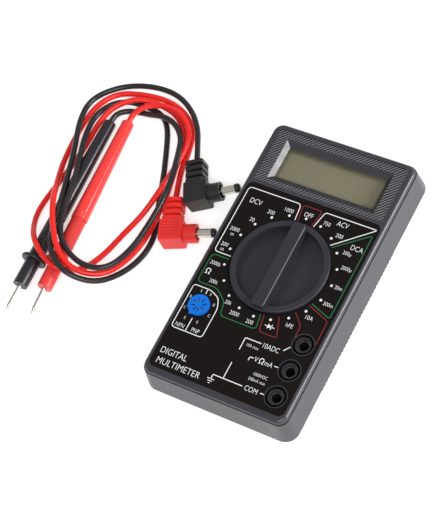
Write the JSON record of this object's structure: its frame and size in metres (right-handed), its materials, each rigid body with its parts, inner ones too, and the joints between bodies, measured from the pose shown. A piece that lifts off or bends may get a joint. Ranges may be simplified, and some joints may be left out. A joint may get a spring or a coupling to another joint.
{
  "type": "handheld digital multimeter",
  "caption": "Pocket digital multimeter with a round range dial, a small LCD, input jacks and a transistor socket, lying beside two loose coiled test leads with probes.",
  "frame": {"origin": "middle of the meter's back, on the surface it lies on, without the test leads; the dial turns about the Z axis through it", "axes": "+Z out of the face, +Y towards the display end, +X towards the input jacks' side (right of the face)"},
  "size_m": [0.1668, 0.1331, 0.0263],
  "materials": {
    "case_plastic": "fine spark-eroded grain, satin",
    "label_print": "satin printed film",
    "clear_window": "polished clear acrylic",
    "lcd_glass": "grey-green reflective liquid crystal",
    "white_moulding": "plain moulded",
    "zebra_rubber": "striped silicone",
    "dial_plastic": "satin",
    "bright_steel": "polished",
    "plated_spring": "drawn wire",
    "contact_brass": "bright",
    "board_laminate": "lacquered laminate",
    "copper_track": "tinned copper",
    "epoxy_black": "cast epoxy",
    "fuse_glass": "clear tube",
    "resistor_lacquer": "lacquered",
    "capacitor_film": "dipped",
    "trimmer_body": "moulded",
    "shunt_metal": "drawn wire",
    "nickel_plate": "bright nickel",
    "socket_blue": "moulded",
    "battery_skin": "printed steel jacket",
    "battery_terminal": "plated",
    "snap_black": "soft vinyl",
    "wire_red": "vinyl sleeve",
    "wire_black": "vinyl sleeve",
    "screw_steel": "zinc plated",
    "lead_black": "glossy vinyl",
    "lead_red": "glossy vinyl",
    "grip_black": "moulded, finely ridged",
    "grip_red": "moulded, finely ridged",
    "tip_black": "insulating cap"
  },
  "bodies": {
    "meter": {"front_case": "case_plastic", "rear_cover": "case_plastic", "face_label": "label_print", "display_window": "clear_window", "lcd_glass": "lcd_glass", "lcd_frame": "white_moulding", "zebra_strip": "zebra_rubber", "circuit_board": "board_laminate", "switch_tracks": "copper_track", "chip_blob": "epoxy_black", "fuse_glass": "fuse_glass", "fuse_caps": "nickel_plate", "fuse_clips": "contact_brass", "resistors": "resistor_lacquer", "capacitors": "capacitor_film", "trimmer": "trimmer_body", "shunt_wire": "shunt_metal", "input_jack_10a": "nickel_plate", "input_jack_volts": "nickel_plate", "input_jack_common": "nickel_plate", "transistor_socket": "socket_blue", "socket_contacts": "contact_brass", "battery": "battery_skin", "battery_terminals": "battery_terminal", "battery_snap": "snap_black", "battery_wire_red": "wire_red", "battery_wire_black": "wire_black", "case_screws": "screw_steel", "board_screws": "screw_steel", "plug_body_black": "lead_black", "plug_pin_black": "nickel_plate", "plug_tip_black": "tip_black", "cord_black": "lead_black", "probe_barrel_black": "lead_black", "probe_grip_black": "grip_black", "probe_needle_black": "nickel_plate", "plug_body_red": "lead_red", "plug_pin_red": "nickel_plate", "plug_tip_red": "tip_black", "cord_red": "lead_red", "probe_barrel_red": "lead_red", "probe_grip_red": "grip_red", "probe_needle_red": "nickel_plate"},
    "dial": {"range_dial": "dial_plastic", "detent_balls": "bright_steel", "detent_springs": "plated_spring", "contact_wipers": "contact_brass"}
  },
  "joints": [
    {"name": "range_dial_turn", "type": "hinge", "parent": "meter", "child": "dial", "pos_m": [0, 0, 0.0232], "axis": [0, 0, 1], "continuous": true}
  ]
}
